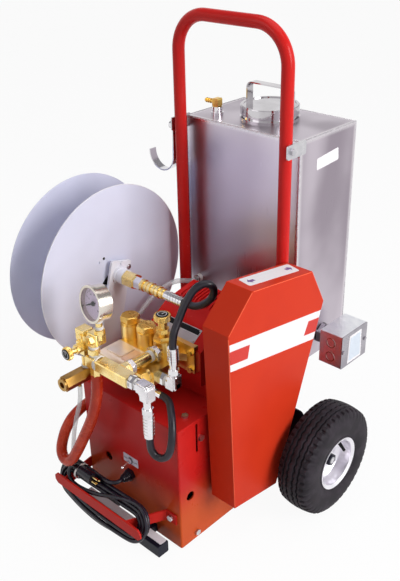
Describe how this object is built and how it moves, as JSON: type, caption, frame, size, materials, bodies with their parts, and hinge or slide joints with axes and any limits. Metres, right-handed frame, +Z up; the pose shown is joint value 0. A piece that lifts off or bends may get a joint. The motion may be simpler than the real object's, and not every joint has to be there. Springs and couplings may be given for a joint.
{
  "type": "pipe thawing machine",
  "caption": "Hand-truck machine that thaws frozen pipes with pumped hot water: heated stainless tank, belt-driven pump, hose reel, gauge, knobs and power cord.",
  "frame": {"origin": "floor point under the middle of the machine's outline, without its cord", "axes": "+X towards the belt guard, +Y towards the tank at the rear, +Z up"},
  "size_m": [0.6466, 0.666, 1.0724],
  "materials": {
    "red_paint": "glossy",
    "black_paint": "satin",
    "grey_paint": "satin",
    "stainless": "brushed",
    "zinc": "zinc plated",
    "chrome": "polished",
    "brass": "machined",
    "cast_metal": "machined",
    "silver_paint": "silver",
    "tyre": "matte",
    "black_rubber": "matte",
    "red_rubber": "satin",
    "clear_tube": "translucent",
    "black_plastic": "glossy",
    "switch_metal": "satin"
  },
  "bodies": {
    "machine": {"handle_frame": "red_paint", "back_plate": "black_paint", "axle": "zinc", "axle_nuts": "zinc", "base_box": "red_paint", "base_floor": "red_paint", "foot_bar": "black_paint", "frame_bolts": "zinc", "tank_shelf": "red_paint", "tank_shell": "stainless", "tank_brackets": "zinc", "filler_neck": "chrome", "vent_elbow": "brass", "heater_element": "cast_metal", "terminal_box": "zinc", "terminal_cover": "zinc", "hose_hook": "chrome", "reel_arm": "grey_paint", "reel_bearing": "cast_metal", "reel_swivel": "brass", "motor_housing": "cast_metal", "drive_belt": "black_rubber", "belt_guard": "red_paint", "pump_crankcase": "red_paint", "pump_rails": "red_paint", "pump_head": "brass", "valve_caps": "brass", "manifold": "brass", "relief_valve": "brass", "gauge_case": "chrome", "hose_fittings": "chrome", "pressure_hose": "black_rubber", "bypass_hose": "black_rubber", "inlet_hose": "red_rubber", "return_tube": "clear_tube", "drain_tube": "clear_tube", "switch_plate": "switch_metal", "strain_relief": "black_rubber", "power_cord": "black_rubber", "cord_hank": "black_rubber", "power_plug": "black_rubber", "cord_bracket": "red_paint"},
    "wheel_left": {"tyre_left": "tyre", "rim_left": "silver_paint", "wheel_bearings_left": "zinc"},
    "wheel_right": {"tyre_right": "tyre", "rim_right": "silver_paint", "wheel_bearings_right": "zinc"},
    "reel": {"reel_flanges": "grey_paint", "reel_drum": "grey_paint"},
    "motor": {"motor_rotor": "cast_metal", "motor_pulley": "cast_metal"},
    "pump_crank": {"pump_crankshaft": "cast_metal", "pump_pulley": "cast_metal"},
    "needle": {"gauge_needle": "black_plastic"},
    "lever": {"switch_lever": "chrome"},
    "regulator": {"regulator_knob": "brass"},
    "pulse": {"pulse_knob": "brass"},
    "cap": {"filler_cap": "chrome", "cap_gasket": "black_rubber"}
  },
  "joints": [
    {"name": "wheel_left_spin", "type": "hinge", "parent": "machine", "child": "wheel_left", "pos_m": [-0.2805, 0.105, 0.13], "axis": [1, 0, 0], "continuous": true},
    {"name": "wheel_right_spin", "type": "hinge", "parent": "machine", "child": "wheel_right", "pos_m": [0.2805, 0.105, 0.13], "axis": [1, 0, 0], "continuous": true},
    {"name": "reel_spin", "type": "hinge", "parent": "machine", "child": "reel", "pos_m": [-0.239, -0.083, 0.515], "axis": [1, 0, 0], "continuous": true},
    {"name": "pump_spin", "type": "hinge", "parent": "machine", "child": "pump_crank", "pos_m": [0.1, -0.01982, 0.41208], "axis": [1, 0, 0], "continuous": true},
    {"name": "motor_spin", "type": "hinge", "parent": "machine", "child": "motor", "pos_m": [0, -0.0587, 0.155], "axis": [1, 0, 0], "continuous": true},
    {"name": "gauge_needle_turn", "type": "hinge", "parent": "machine", "child": "needle", "pos_m": [-0.035, -0.256, 0.56108], "axis": [0.1381, 0.9829, -0.1219], "range_deg": [0, 240], "stiffness_Nm_per_rad": 0.001},
    {"name": "switch_toggle", "type": "hinge", "parent": "machine", "child": "lever", "pos_m": [-0.001, -0.2295, 0.167], "axis": [-1, 0, 0], "range_deg": [0, 24]},
    {"name": "regulator_turn", "type": "hinge", "parent": "machine", "child": "regulator", "pos_m": [-0.076, -0.3095, 0.45108], "axis": [0, 1, 0], "range_deg": [-360, 360]},
    {"name": "pulse_turn", "type": "hinge", "parent": "machine", "child": "pulse", "pos_m": [0.02, -0.13282, 0.49708], "axis": [0, 0, 1], "range_deg": [0, 90]},
    {"name": "cap_lift", "type": "slide", "parent": "machine", "child": "cap", "axis": [0, 0, 1], "range_m": [0, 0.08]}
  ],
  "couplings": [
    {"joint": "motor_spin", "follows": "pump_spin", "ratio": 2.4419}
  ]
}
